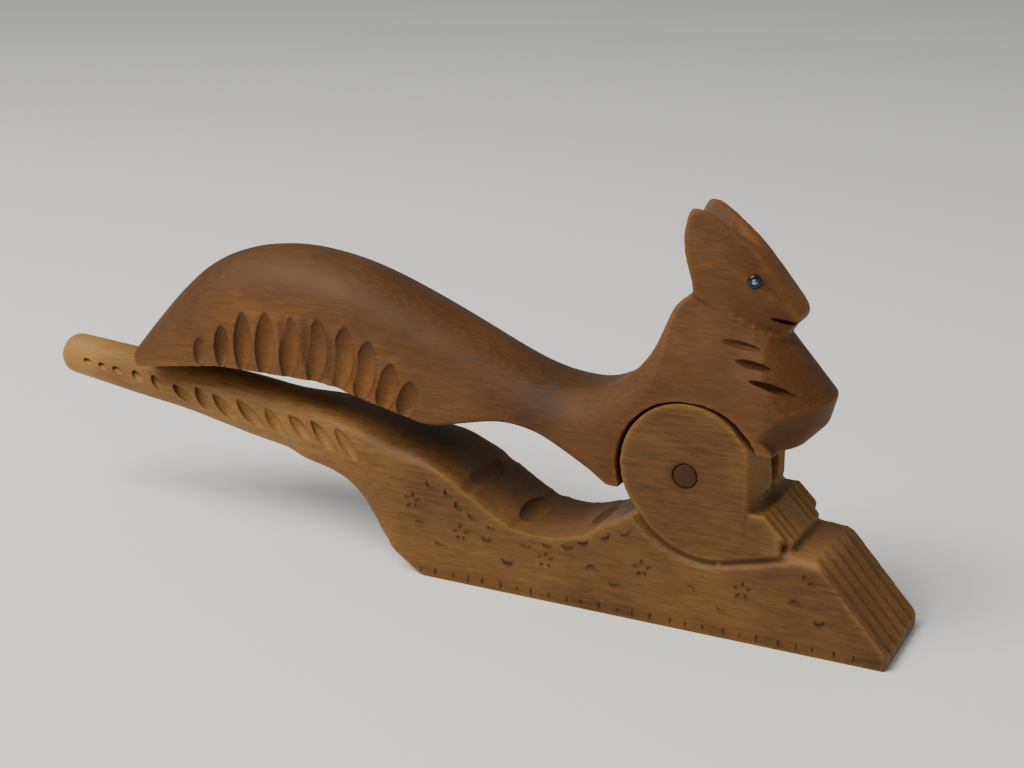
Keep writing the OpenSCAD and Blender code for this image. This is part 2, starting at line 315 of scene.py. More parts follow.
@dataclass(frozen=True)
class StainedWood:
    """Fine-grained hardwood, carved by hand, stained brown and waxed, then worn by years of handling.

    The wood is stained darker in the hollows, where painted shade darkens it as well, and is rubbed lighter
    along the edges. Some zones carry painted shade and painted highlights in their tone. Fibres run along
    X, about 0.35 mm apart, with bands of growth 5 mm wide. The fibres are drawn a little coarser than real.
    """

    name: str
    light: str = "#926a38"
    middle: str = "#6a4822"
    dark: str = "#3c270f"
    grime_and_shade: str = "#1f1208"
    roughness: float = 0.58
    fibre_mm: float = 0.35
    band_mm: float = 5.0
    cloud_mm: float = 28.0
    band_weight: float = 0.14
    fibre_weight: float = 0.46
    cloud_weight: float = 0.46
    stain_weight: float = -0.30
    lift: float = 0.07
    end_grain: bool = False

    def material(self) -> bpy.types.Material:
        """Builds the material."""
        made, tree = new_finish(self.name)
        place = add(tree, "ShaderNodeTexCoord").outputs["Object"]
        stretch = (1.0, 1.0, 1.0) if self.end_grain else (0.11, 1.0, 1.0)
        along = add(tree, "ShaderNodeMapping", {"Vector": place, "Scale": stretch}).outputs[0]
        long_bands = add(tree, "ShaderNodeMapping",
                         {"Vector": place, "Scale": (0.16, 0.7, 1.0),
                          "Rotation": (0, 0.05, 0.02)}).outputs[0]
        fibres = add(tree, "ShaderNodeTexNoise",
                     {"Vector": along, "Scale": 0.5 / (self.fibre_mm * MM), "Detail": 4.0,
                      "Roughness": 0.68})
        bands = add(tree, "ShaderNodeTexNoise",
                    {"Vector": long_bands, "Scale": 0.5 / (self.band_mm * MM), "Detail": 4.0,
                     "Roughness": 0.55, "Distortion": 0.6})
        clouds = add(tree, "ShaderNodeTexNoise",
                     {"Vector": place, "Scale": 1 / (self.cloud_mm * MM), "Detail": 3.0, "Roughness": 0.5})
        tone = add(tree, "ShaderNodeMath",
                   {0: bands.outputs[0], 1: self.band_weight, 2: self.lift}, operation="MULTIPLY_ADD")
        tone = add(tree, "ShaderNodeMath",
                   {0: fibres.outputs[0], 1: self.fibre_weight, 2: tone.outputs[0]},
                   operation="MULTIPLY_ADD")
        tone = add(tree, "ShaderNodeMath",
                   {0: clouds.outputs[0], 1: self.cloud_weight, 2: tone.outputs[0]},
                   operation="MULTIPLY_ADD")
        # This attribute shifts the wood's tone by zone: some of it is stained tone, some is painted shade
        # and painted highlight.
        stain = add(tree, "ShaderNodeAttribute", attribute_name="stain")
        tone = add(tree, "ShaderNodeMath",
                   {0: stain.outputs["Fac"], 1: self.stain_weight, 2: tone.outputs[0]},
                   operation="MULTIPLY_ADD")
        wood = add(tree, "ShaderNodeValToRGB", {"Fac": tone.outputs[0]},
                   stops=[(0.30, self.dark), (0.86, self.light), (0.58, self.middle)])
        wear = add(tree, "ShaderNodeAttribute", attribute_name="wear")
        rubbed = add(tree, "ShaderNodeMath",
                     {0: wear.outputs["Fac"], 1: fibres.outputs[0]}, operation="MULTIPLY")
        rubbed = add(tree, "ShaderNodeMath", {0: rubbed.outputs[0], 1: 0.9},
                     operation="MULTIPLY", use_clamp=True)
        worn = add(tree, "ShaderNodeMix", {"Factor": rubbed.outputs[0], 6: wood.outputs[0],
                                           7: linear(self.light)}, data_type="RGBA")
        # Creases, hollows and tool marks are mixed towards the dark colour: grime together with painted
        # shade.
        hollow = add(tree, "ShaderNodeAttribute", attribute_name="hollow")
        grime_and_shade_amount = add(tree, "ShaderNodeMath", {0: hollow.outputs["Fac"], 1: 0.92},
                    operation="MULTIPLY", use_clamp=True)
        grimed_and_shaded = add(tree, "ShaderNodeMix", {"Factor": grime_and_shade_amount.outputs[0], 6: worn.outputs[2],
                                            7: linear(self.grime_and_shade)}, data_type="RGBA")
        gloss = add(tree, "ShaderNodeMapRange",
                    {"Value": fibres.outputs[0], "From Min": 0.3, "From Max": 0.7,
                     "To Min": self.roughness - 0.05, "To Max": self.roughness + 0.09})
        bump = add(tree, "ShaderNodeBump", {"Height": fibres.outputs[0], "Strength": 0.22,
                                            "Distance": 0.12 * MM})
        bump = add(tree, "ShaderNodeBump", {"Height": clouds.outputs[0], "Strength": 0.35,
                                            "Distance": 0.5 * MM, "Normal": bump.outputs[0]})
        shader = add(tree, "ShaderNodeBsdfPrincipled",
                     {"Base Color": grimed_and_shaded.outputs[2], "Roughness": gloss.outputs[0],
                      "Normal": bump.outputs[0], "IOR": 1.48, "Specular IOR Level": 0.24})
        add(tree, "ShaderNodeOutputMaterial", {"Surface": shader.outputs[0]})
        return made


@dataclass(frozen=True)
class BlackGlass:
    """Pressed black glass bead, polished by the flame: near black and glossy with a faint cloud."""

    name: str
    colour: str = "#0a0b0d"
    roughness: float = 0.08

    def material(self) -> bpy.types.Material:
        """Builds the material."""
        made, tree = new_finish(self.name)
        place = add(tree, "ShaderNodeTexCoord").outputs["Object"]
        cloud = add(tree, "ShaderNodeTexNoise", {"Vector": place, "Scale": 1 / (0.8 * MM), "Detail": 2.0})
        tint = add(tree, "ShaderNodeValToRGB", {"Fac": cloud.outputs[0]},
                   stops=[(0.3, self.colour), (0.8, "#1b2024")])
        shader = add(tree, "ShaderNodeBsdfPrincipled",
                     {"Base Color": tint.outputs[0], "Roughness": self.roughness, "IOR": 1.42})
        add(tree, "ShaderNodeOutputMaterial", {"Surface": shader.outputs[0]})
        return made


@dataclass(frozen=True)
class BrightSteel:
    """Drawn steel brad with a struck head: a bright metal with a slight blue-grey haze."""

    name: str
    colour: str = "#9aa2aa"
    roughness: float = 0.28

    def material(self) -> bpy.types.Material:
        """Builds the material."""
        made, tree = new_finish(self.name)
        place = add(tree, "ShaderNodeTexCoord").outputs["Object"]
        scuff = add(tree, "ShaderNodeTexNoise", {"Vector": place, "Scale": 1 / (0.3 * MM), "Detail": 3.0})
        tint = add(tree, "ShaderNodeValToRGB", {"Fac": scuff.outputs[0]},
                   stops=[(0.3, "#6d757d"), (0.7, self.colour)])
        bump = add(tree, "ShaderNodeBump", {"Height": scuff.outputs[0], "Strength": 0.15,
                                            "Distance": 0.05 * MM})
        shader = add(tree, "ShaderNodeBsdfPrincipled",
                     {"Base Color": tint.outputs[0], "Roughness": self.roughness, "Metallic": 1.0,
                      "Normal": bump.outputs[0]})
        add(tree, "ShaderNodeOutputMaterial", {"Surface": shader.outputs[0]})
        return made


# ---------------------------------------------------------------- carved wood


@dataclass
class Bench:
    """Where the carver's own measures lie in the frame.

    They are millimetres from a bench mark on the table, 79 mm behind the dowel.
    """

    hinge_x: float = 79.0
    hinge_z: float = 42.9

    def __post_init__(self) -> None:
        """Finds the bench mark from the dowel's place in the frame."""
        low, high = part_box("hinge_dowel")
        middle = (low + high) / 2
        self.origin = np.array([middle.x / MM - self.hinge_x, middle.y / MM, middle.z / MM - self.hinge_z])

    def at(self, x: float, y: float, z: float) -> Vector:
        """A point in the frame, in metres.

        Args:
            x: Along the part.
            y: Across the part.
            z: Up.

        Returns:
            The point.
        """
        return Vector((np.array([x, y, z]) + self.origin) * MM)

    def measures(self, thing: bpy.types.Object) -> np.ndarray:
        """A mesh's vertices in the carver's own millimetres.

        Args:
            thing: The mesh object.

        Returns:
            The places, one row for each vertex.
        """
        return places(thing) / MM - self.origin

    def set_measures(self, thing: bpy.types.Object, at: np.ndarray) -> None:
        """Moves a mesh's vertices to places in the carver's own millimetres.

        Args:
            thing: The mesh object.
            at: The new places, one row for each vertex.
        """
        put(thing, (at + self.origin) * MM)


class Edge(Enum):
    """How a tool mark ends: a pointed leaf, a rounder scoop, or the round pit that a punch leaves."""

    LEAF = 1.0
    SCOOP = 0.72
    PIT = 0.5


@dataclass(frozen=True)
class Mark:
    """One tool mark, as the solid that the tool takes away. Sizes are in millimetres.

    Args:
        at: Middle of the mark on the wood's surface.
        along: Direction of its length.
        out: Direction out of the wood.
        length: Length of the mark on the surface.
        width: Width of the mark on the surface.
        depth: How deep it goes.
        edge: How its ends are shaped.
        grime_and_shade: How dark its inside is painted, for dirt gathered in it and for painted shade, from
            0 to 1.
        bend: How far its ends curl sideways, in half widths.
    """

    at: tuple[float, float, float]
    along: tuple[float, float, float]
    out: tuple[float, float, float]
    length: float
    width: float
    depth: float
    edge: Edge = Edge.LEAF
    grime_and_shade: float = 0.85
    bend: float = 0.0

    def cutter(self, bench: Bench) -> bpy.types.Object:
        """Makes the solid, from a ball drawn out to a spindle.

        Args:
            bench: The carver's measures.

        Returns:
            The solid.
        """
        deselect()
        fine = 2 if self.length > 5 else 1
        bpy.ops.mesh.primitive_uv_sphere_add(segments=12 * fine, ring_count=10 * fine, radius=1)
        made = bpy.context.object
        here = places(made)
        height = np.clip(here[:, 2], -1, 1)
        round_part = np.sqrt(np.maximum(1 - height ** 2, 1e-9))
        here[:, :2] *= (np.maximum(1 - height ** 2, 1e-9) ** self.edge.value / round_part)[:, None]
        here[:, 0] += self.bend * height ** 2
        put(made, here)
        made.matrix_world = self.stance(bench)
        return made

    def stance(self, bench: Bench) -> Matrix:
        """The place, turn and size that take a ball of radius 1 to this mark.

        Args:
            bench: The carver's measures.

        Returns:
            The matrix.
        """
        z = Vector(self.along).normalized()
        y = Vector(self.out)
        y = (y - z * y.dot(z)).normalized()
        x = y.cross(z)
        lift = 0.4 * self.depth
        reach = 1 + 0.5 * (lift / (self.depth + lift)) ** 2
        turn = Matrix((x, y, z)).transposed().to_4x4()
        size = Matrix.Diagonal((self.width / 2 * MM * reach, (self.depth + lift) * MM,
                                self.length / 2 * MM * reach, 1))
        return Matrix.Translation(bench.at(*self.at) + y * lift * MM) @ turn @ size

    def inside(self, bench: Bench, where: np.ndarray) -> tuple[np.ndarray, np.ndarray]:
        """Finds the points that lie in this mark.

        Args:
            bench: The carver's measures.
            where: Points in the frame, in metres, one a row.

        Returns:
            The numbers of those points, and how near each is to the mark's rim, from 0 to 1.
        """
        away = np.linalg.norm(where - np.array(bench.at(*self.at)), axis=1)
        near = np.nonzero(away < self.length * MM)[0]
        undo = np.array(self.stance(bench).inverted())
        local = where[near] @ undo[:3, :3].T + undo[:3, 3]
        height = np.clip(np.abs(local[:, 2]), 0, 1)
        away = np.hypot(local[:, 0] - self.bend * height ** 2, local[:, 1])
        held = away < (1 - height ** 2) ** self.edge.value + 0.02
        rim = np.maximum(np.clip((local[held, 1] + 1) / 0.7, 0, 1), height[held])
        return near[held], rim

    def mirrored(self) -> "Mark":
        """The same mark on the other side of the part."""
        over = [(v[0], -v[1], v[2]) for v in (self.at, self.along, self.out)]
        return replace(self, at=over[0], along=over[1], out=over[2], bend=-self.bend)


@dataclass
class CarvedPart:
    """A part carved from one piece of wood, finished by hand from its sawn and turned shape."""

    bench: Bench
    node: str
    body: str
    slot: str
    voxel_mm: float = 0.55
    rounding: int = 2
    most_triangles: int = 190000

    def blank(self) -> bpy.types.Object:
        """Copies the part's plain shape as one closed skin of small even facets."""
        choose(bpy.data.objects[self.node])
        bpy.ops.object.duplicate(linked=False)
        made = bpy.context.object
        made.parent = None
        made.name = self.node + "_carved"
        made.data.name = made.name
        for key in [key for key in made.keys() if key.startswith("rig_")]:
            del made[key]
        bpy.ops.object.mode_set(mode="EDIT")
        bpy.ops.mesh.select_all(action="SELECT")
        bpy.ops.mesh.remove_doubles(threshold=0.002 * MM)
        bpy.ops.object.mode_set(mode="OBJECT")
        self.even(made)
        return made

    def even(self, thing: bpy.types.Object) -> None:
        """Lays even small facets over the shape and takes the sharpness off every arris.

        Args:
            thing: The part in hand.
        """
        modify(thing, "REMESH", mode="VOXEL", voxel_size=self.voxel_mm * MM, adaptivity=0.0)
        modify(thing, "SMOOTH", factor=0.5, iterations=self.rounding)

    def scrape(self, thing: bpy.types.Object, share: np.ndarray, reach_mm: float) -> None:
        """Blends the surface over about this reach, fully where share is 1 and not at all where it is 0.

        Args:
            thing: The part in hand.
            share: One number for each vertex.
            reach_mm: How far the blend reaches.
        """
        here = places(thing)
        rounds = math.ceil(4 * (reach_mm / self.voxel_mm) ** 2)
        put(thing, here + (relaxed(thing, here, rounds) - here) * share[:, None])

    def cut(self, thing: bpy.types.Object, marks: list[Mark]) -> None:
        """Takes the tool marks out of the wood.

        Args:
            thing: The part in hand.
            marks: The marks.
        """
        before = KDTree(len(thing.data.vertices))
        for number, point in enumerate(places(thing)):
            before.insert(point, number)
        before.balance()
        hollow, wear = self.age(thing)
        tool = join([mark.cutter(self.bench) for mark in marks], self.node + "_tool")
        modify(thing, "BOOLEAN", operation="DIFFERENCE", object=tool, solver="MANIFOLD")
        bpy.data.objects.remove(tool)
        where = places(thing)
        nearest = np.array([before.find(point)[1] for point in where])
        hollow, wear = hollow[nearest], wear[nearest]
        for mark in marks:
            held, rim = mark.inside(self.bench, where)
            # Wide marks get a painted shade line along their rims, and each mark's inside is darkened for
            # dirt and painted shade.
            painted_rim_shade = 0.5 * (1 - mark.grime_and_shade) * min(1, mark.width / 6) * ramp(rim, 0.5, 1.0)
            hollow[held] = mark.grime_and_shade * (0.8 + 0.2 * rim) + painted_rim_shade
            wear[held] = 0.6 * (1 - mark.grime_and_shade) * (1 - rim)
        store(thing, "hollow", hollow)
        store(thing, "wear", wear)
        count = sum(len(face.vertices) - 2 for face in thing.data.polygons)
        if count > self.most_triangles:
            modify(thing, "DECIMATE", ratio=self.most_triangles / count)

    def age(self, thing: bpy.types.Object) -> tuple[np.ndarray, np.ndarray]:
        """Works out, for each vertex, how much grime and painted shade darken it and how much hands have
        rubbed off.

        Args:
            thing: The part in hand.

        Returns:
            The grime and painted shade in the hollows, and the wear, both from 0 to 1.
        """
        here = places(thing)
        out = normals(thing)
        fine = ((relaxed(thing, here, 8) - here) * out).sum(1) / MM
        broad = ((relaxed(thing, here, 50) - here) * out).sum(1) / MM
        hollow = ramp(fine, 0.03, 0.24) * 0.6 + ramp(broad, 0.2, 0.8) * 0.4
        wear = ramp(-fine, 0.02, 0.14) * 0.5 + ramp(-broad, 0.15, 0.7) * 0.2
        kept = relaxed(thing, np.stack([hollow, wear], axis=1), 2)
        return kept[:, 0], kept[:, 1]

    def place(self, thing: bpy.types.Object, finish: bpy.types.Material) -> None:
        """Smooths, dresses and fastens the finished part to its body in the frame.

        Args:
            thing: The part in hand.
            finish: The material.
        """
        choose(thing)
        bpy.ops.object.shade_smooth_by_angle(angle=math.radians(40))
        dress(thing, finish)
        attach(thing, self.body)
        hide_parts(self.node)
        triangles = sum(len(face.vertices) - 2 for face in thing.data.polygons)
        log.info("%s: %d triangles, rides on %s", thing.name, triangles, self.body)


@dataclass
class HandledBase(CarvedPart):
    """The wedge base with its rod handle, nut seat, cheeks and feet."""

    node: str = "base"
    body: str = "base_body"
    slot: str = "base_wood"
    half_width: float = 15.0
    end_trim: float = 2.0
    end_lift: float = 0.5
    root_reach: float = 4.0
    hump_reach: float = 2.2
    hump_drop: float = 1.6
    slot_ease: float = 0.55

    def shape(self, thing: bpy.types.Object) -> None:
        """Runs the handle into the block and rounds the hump, the seat's edges and the slope.

        Args:
            thing: The base in hand.
        """
        at = self.bench.measures(thing)
        at[:, 0] += self.end_trim * ramp(-at[:, 0], 96, 134)
        at[:, 2] += self.end_lift * ramp(-at[:, 0], 96, 134)
        self.bench.set_measures(thing, at)
        x, y, z = at.T
        root = ramp(x, -64, -46) * (1 - ramp(x, -10, 4)) * ramp(z, 6, 22)
        self.scrape(thing, root, self.root_reach)
        at = self.bench.measures(thing)
        x, y, z = at.T
        hump = ramp(x, -20, -8) * (1 - ramp(x, 2, 14)) * ramp(z, 24, 31)
        drop = self.hump_drop * ramp(np.abs(y), 6, 15) * hump * (1 - 0.7 * ramp(y, 0, 8))
        at[:, 2] -= drop
        # the cheeks' corners beside the slot are eased, so that the lever runs free of them
        from_hinge = np.stack([x - self.bench.hinge_x, np.zeros_like(x), z - self.bench.hinge_z], axis=1)
        away = np.linalg.norm(from_hinge, axis=1)
        slot = ramp(away, 16.5, 18.5) * (1 - ramp(away, 20.6, 21.6)) * (1 - ramp(np.abs(y), 4.3, 5.2))
        at -= from_hinge * (self.slot_ease * slot / np.maximum(away, 1e-6))[:, None]
        self.bench.set_measures(thing, at)
        self.scrape(thing, hump, self.hump_reach)

    def handle_gouges(self) -> list[Mark]:
        """A row of slanting gouge cuts down the side of the handle."""
        row = ((-120.3, -5.7, 44.0), (-114.2, -6.2, 43.1), (-108.3, -6.5, 42.5), (-100.2, -7.0, 41.2),
               (-92.1, -7.3, 39.8), (-82.6, -7.5, 38.0), (-75.0, -7.8, 37.2),
               (-67.3, -8.1, 36.4), (-57.9, -8.7, 35.6),
               (-49.3, -9.4, 34.6), (-39.8, -10.7, 35.0), (-31.3, -12.0, 34.2), (-23.0, -13.0, 33.6))
        marks = []
        for number, at in enumerate(row):
            across = min(-at[1] / (8.3 if at[0] < -45 else 13.5), 0.97)
            rise = math.sqrt(1 - across ** 2)
            slant = math.radians(42 + 7 * math.sin(2.3 * number))
            full = min(max((at[0] + 108) / 36, 0.0), 1.0)
            marks.append(Mark(at, (math.cos(slant), -rise * math.sin(slant), -across * math.sin(slant)),
                              (0.0, -across, rise), 9.0 + 5.0 * full + 1.2 * math.sin(1.7 * number),
                              2.3 + 1.7 * full, 0.45 + 1.2 * full, grime_and_shade=0.0))
        return marks

    def stamps(self) -> list[Mark]:
        """The punched patterns on the block's side: crescents, stars and the ticks along the foot."""
        marks = []
        side = -self.half_width
        row = [(4.3, 27.3, -35), (9.7, 25.9, -40), (13.0, 22.7, -40), (17.7, 20.0, -35), (23.3, 18.1, -25),
               (34.3, 14.8, -5), (40.3, 16.0, 0), (46.5, 16.7, 10), (51.3, 19.0, 20), (57.7, 21.7, 20),
               (63.3, 23.7, 20), (1.3, 16.0, 0), (7.3, 10.3, -10), (22.0, 14.3, 0), (28.5, 8.8, -10),
               (53.5, 13.0, 170), (60.0, 8.7, 0), (82.3, 12.7, 160), (90.0, 7.7, -10), (109.7, 14.3, 170),
               (116.3, 9.3, 0)]
        for number, (x, z, turn) in enumerate(row):
            swing = math.radians(turn + 12 * math.sin(5.1 * number))
            flip = -1 if turn > 90 else 1
            marks.append(Mark((x, side, z), (math.cos(swing) * flip, 0, math.sin(swing) * flip), (0, -1, 0),
                              3.5 + 0.4 * math.sin(2.7 * number), 0.85, 0.5,
                              grime_and_shade=0.35 + 0.25 * math.sin(number),
                              bend=2.6 if turn <= 90 else -2.6))
        for star, (x, z) in enumerate(((-9.3, 27.0), (-1.0, 22.0), (14.3, 15.3), (40.0, 12.0), (68.0, 15.3),
                                       (95.7, 14.3), (111.8, 19.6))):
            for arm in range(5 if star < 6 else 2):
                swing = math.radians(18 + 72 * arm + 9 * math.sin(3 * star + arm))
                marks.append(Mark((x + 1.8 * math.cos(swing), side, z + 1.8 * math.sin(swing)),
                                  (math.cos(swing), 0, math.sin(swing)), (0, -1, 0),
                                  1.9 + 0.3 * math.sin(7 * arm + star), 0.8, 0.45, grime_and_shade=0.3))
        for number in range(26):
            x = 1.5 + 4.95 * number + 0.5 * math.sin(4.3 * number)
            marks.append(Mark((x, side, 2.0), (0.06 * math.sin(number), 0, 1), (0, -1, 0),
                              2.0 + 0.5 * math.sin(2.9 * number), 0.5, 0.35, Edge.PIT,
                              grime_and_shade=0.15 + 0.15 * math.sin(1.9 * number)))
        return marks

    def seat_gouges(self) -> list[Mark]:
        """Three scoops across the nut seat."""
        return [Mark((14.6, 1.0, 28.6), (0, 1, 0.02), (0.63, 0, 0.78), 21, 7.5, 2.2,
                     Edge.SCOOP, grime_and_shade=0.15),
                Mark((30.3, 0.5, 20.0), (0, 1, 0.02), (0.30, 0, 0.95), 20.5, 7.5, 2.3,
                     Edge.SCOOP, grime_and_shade=0.15),
                Mark((50.5, 1.5, 22.0), (0, 1, 0.02), (-0.36, 0, 0.93), 19, 6.5, 1.8,
                     Edge.SCOOP, grime_and_shade=0.15)]

    def build(self, finish: bpy.types.Material) -> bpy.types.Object:
        """Carves, ages and dresses the base.

        Args:
            finish: The wood.

        Returns:
            The finished base.
        """
        thing = self.blank()
        self.shape(thing)
        near = self.handle_gouges() + self.stamps()
        self.cut(thing, near + [mark.mirrored() for mark in near] + self.seat_gouges())
        x, y, z = self.bench.measures(thing).T
        # Painted shade: the seat and the hump under the lever are painted darker, as the lever's shadow.
        shade_under_lever = ramp(x, -30, -5) * (1 - ramp(x, 50, 64)) * ramp(14 - np.abs(y), 0, 3) * ramp(z, 12, 18)
        # Painted light: the handle is painted lighter from 20 mm behind the block and lighter still towards
        # its end, as if lit from the left.
        lit_handle_end = ramp(-x, 104, 132)
        side = ramp(np.abs(y), 14.2, 14.9) * ramp(x, -10, 4)
        store(thing, "stain", 0.45 * shade_under_lever * (1 - 0.8 * ramp(x, 16, 30)) + 0.4 * side
              + 0.2 * (1 - ramp(z, 1, 6))
              - 0.35 * ramp(x, 98, 104) * ramp(z, 22, 24)
              - 1.0 * lit_handle_end - 0.25 * ramp(-x, 20, 50))
        away = np.hypot(x - self.bench.hinge_x, z - self.bench.hinge_z)
        ring = 0.6 * (1 - ramp(away, 3.6, 5.8)) * ramp(np.abs(y), 13.5, 14.8)
        store(thing, "hollow", np.maximum(recall(thing, "hollow"), ring))
        self.place(thing, finish)
        return thing


@dataclass
class SquirrelLever(CarvedPart):
    """The squirrel: tail, back, chest and head in one piece, with the tongue that turns on the dowel."""

    node: str = "squirrel_lever"
    body: str = "lever_body"
    slot: str = "lever_wood"
    section_r: float = 15.0
    back_rise: float = 1.5
    waist_reach: float = 2.2
    head_reach: float = 0.8
    forehead: tuple[float, float] = (92.7, 101.4)
    forehead_out: tuple[float, float] = (0.74, 0.67)
    ear_tip: tuple[float, float] = (75.9, 110.4)
    brow_down: tuple[float, ...] = (0, 10, 17, 22, 30, 36)
    brow_half: tuple[float, ...] = (6.4, 5.5, 4.4, 3.6, 3.4, 3.0)
    spread_down: tuple[float, ...] = (0, 2.4, 10.6, 17, 21.3, 24, 40)
    spread_by: tuple[float, ...] = (0.15, 0.2, 0.4, 0.7, 0.95, 1.15, 1.4)
    cheek_down: tuple[float, ...] = (0, 8, 18, 24, 30, 34, 38)
    cheek_half: tuple[float, ...] = (7.9, 9.1, 9.4, 8.8, 7.8, 6.4, 4.2)
    jaw_x: tuple[float, ...] = (60.0, 73.0, 77.0, 83.0, 88.0, 94.0, 100.4, 110.0)
    jaw_z: tuple[float, ...] = (97.0, 91.8, 89.6, 86.9, 84.7, 82.3, 79.8, 76.0)
    top_x: tuple[float, ...] = (-114, -104, -98.4, -90, -80.5, -71.4, -60, -50.7, -43, -36, -26,
                                -16, -6, 4.4, 14.6,
                                24.8, 35, 45, 50.7, 54.3, 57.6, 64.2)
    top_z: tuple[float, ...] = (35.6, 47, 53.4, 63.2, 72.7, 79.3, 83.7, 85.2, 85.7, 85.2, 83.7,
                                80.9, 77.4, 73.2,
                                68.8, 64.2, 60.6, 59.2, 59.7, 60.9, 63.2, 68.8)

    def round_back(self, at: np.ndarray) -> np.ndarray:
        """Turns the tail's and back's flat top into one round section, side to side.

        Args:
            at: Vertices in millimetres.

        Returns:
            The moved vertices.
        """
        x, y, z = at.T
        steps = np.linspace(-5, 5, 11)
        top = np.mean([np.interp(x + step, self.top_x, self.top_z) for step in steps], axis=0)
        top += self.back_rise * ramp(x, -100, -70)
        tall = self.section_r - 6 * (1 - ramp(x, -104, -78))
        middle = top - tall
        away = np.hypot(y / self.section_r, (z - middle) / tall)
        share = ramp(z, middle - 1, middle + 2) * (1 - ramp(x, 44, 58)) * ramp(x, -110, -100)
        factor = 1 + (1 / np.maximum(away, 1e-6) - 1) * share * ramp(away, 0.4, 0.6)
        return np.stack([x, y * factor, middle + (z - middle) * factor], axis=1)

    def draw_in_neck(self, at: np.ndarray) -> np.ndarray:
        """Planes the neck and shoulders narrower than the head, which then stands proud of them.

        Args:
            at: Vertices in millimetres.

        Returns:
            The moved vertices.
        """
        x, y, z = at.T
        below = np.interp(x, self.jaw_x, self.jaw_z) - z
        height = np.interp(x, self.jaw_x, self.jaw_z)
        up = np.clip((z - 62) / (height - 62), 0, 1)
        at_jaw = np.interp(x, (77, 88, 94, 98, 101, 106), (8.4, 8.6, 7.7, 6.3, 4.6, 4.0))
        half = 15.0 - (15.0 - at_jaw) * up ** (1.5 + 1.5 * ramp(x, 88, 100))
        half = half + 5 * ramp(-below, -0.1, 0.35)
        share = (ramp(x, 62, 70) * ramp(z, 60, 64))
        limit = np.where(np.abs(y) > half, half / np.maximum(np.abs(y), 1e-6), 1.0)
        return np.stack([x, y * (1 + (limit - 1) * share), z], axis=1)

    def shape_head(self, at: np.ndarray) -> np.ndarray:
        """Planes both sides of the forehead and ears and brings the cheeks round to the snout.

        Args:
            at: Vertices in millimetres.

        Returns:
            The moved vertices.
        """
        x, y, z = at.T
        above = ramp(z - np.interp(x, self.jaw_x, self.jaw_z), -0.1, 0.4)
        out_x, out_z = self.forehead_out
        depth = -((x - self.forehead[0]) * out_x + (z - self.forehead[1]) * out_z)
        down = (x - self.ear_tip[0]) * out_z - (z - self.ear_tip[1]) * out_x
        brow = np.interp(down, self.brow_down, self.brow_half)
        spread = np.interp(down, self.spread_down, self.spread_by)
        cheek = np.interp(down, self.cheek_down, self.cheek_half)
        half = np.minimum(brow + spread * np.maximum(depth, 0), cheek)
        limit = np.where(np.abs(y) > half, half / np.maximum(np.abs(y), 1e-6), 1.0)
        return np.stack([x, y * (1 + (limit - 1) * above), z], axis=1)

    def shape(self, thing: bpy.types.Object) -> None:
        """Rounds the back, then works the neck and the head.

        Args:
            thing: The lever in hand.
        """
        for work in (self.round_back, self.draw_in_neck, self.shape_head):
            at = work(self.bench.measures(thing))
            self.bench.set_measures(thing, at)
        self.even(thing)
        x, y, z = self.bench.measures(thing).T
        waist = ramp(x, -20, 0) * (1 - ramp(x, 54, 66)) * (1 - ramp(x, 50, 60) * ramp(50 - z, 0, 8))
        self.scrape(thing, waist, self.waist_reach)
        x, y, z = self.bench.measures(thing).T
        head = ramp(z - np.interp(x, self.jaw_x, self.jaw_z), 1.0, 3.0) * ramp(x, 72, 76)
        self.scrape(thing, head, self.head_reach)

    def tail_flutes(self) -> list[Mark]:
        """Ten scoops up the tail's side from its lower edge, tallest in the middle."""
        rows = [(-70.7, 52.3, 59.5, 4.6), (-63.0, 52.3, 64.3, 5.4), (-55.7, 51.6, 69.1, 6.2),
                (-48.2, 51.2, 70.1, 6.6),
                (-40.0, 51.2, 69.8, 6.8), (-31.2, 50.8, 70.3, 7.4), (-22.8, 49.6, 69.4, 7.2),
                (-15.6, 48.4, 66.2, 7.0),
                (-8.6, 46.4, 60.6, 6.6), (-2.4, 44.8, 56.4, 6.0)]
        marks = []
        for number, (x, low, high, width) in enumerate(rows):
            lean = 0.04 + 0.28 * (number / 9) ** 2
            marks.append(Mark((x, -15.0, (low + high) / 2), (lean, 0, 1), (0, -1, 0),
                              high - low + 2.0, width, 2.6 if number else 1.6, Edge.SCOOP, grime_and_shade=0.1))
        return marks

    def chest_cuts(self) -> list[Mark]:
        """Three knife cuts on each side, from the neck towards the chest's front."""
        return [Mark((90.6, -10.9, 78.5), (1.0, 0.12, -0.16), (0.2, -0.93, 0.3), 12.5, 2.0, 1.5,
                     grime_and_shade=0.15),
                Mark((94.5, -12.0, 74.0), (1.0, 0.14, -0.18), (0.2, -0.93, 0.3), 11.5, 2.0, 1.5,
                     grime_and_shade=0.15),
                Mark((100.2, -12.3, 68.6), (1.0, 0.28, -0.30), (0.4, -0.80, 0.45), 13.5, 1.9, 1.4,
                     grime_and_shade=0.1)]

    def mouth(self) -> list[Mark]:
        """The mouth, a short cut on each side that meets across the snout."""
        return [Mark((100.4, -5.2, 84.1), (0.9, 0.40, -0.22), (0.40, -0.9, -0.1), 8.5, 1.1, 1.5, grime_and_shade=0.7),
                Mark((104.3, -1.6, 83.2), (0.25, 1.0, 0.0), (1.0, -0.2, -0.1), 5.0, 1.0, 1.2, grime_and_shade=0.7)]

    def brow_valley(self) -> list[Mark]:
        """The valley that parts the ears and runs out down the forehead."""
        return [Mark((83.5, 0.0, 108.6), (0.84, 0.0, -0.54), (0.54, 0.0, 0.84), 24.0, 8.5, 4.2, grime_and_shade=0.0)]

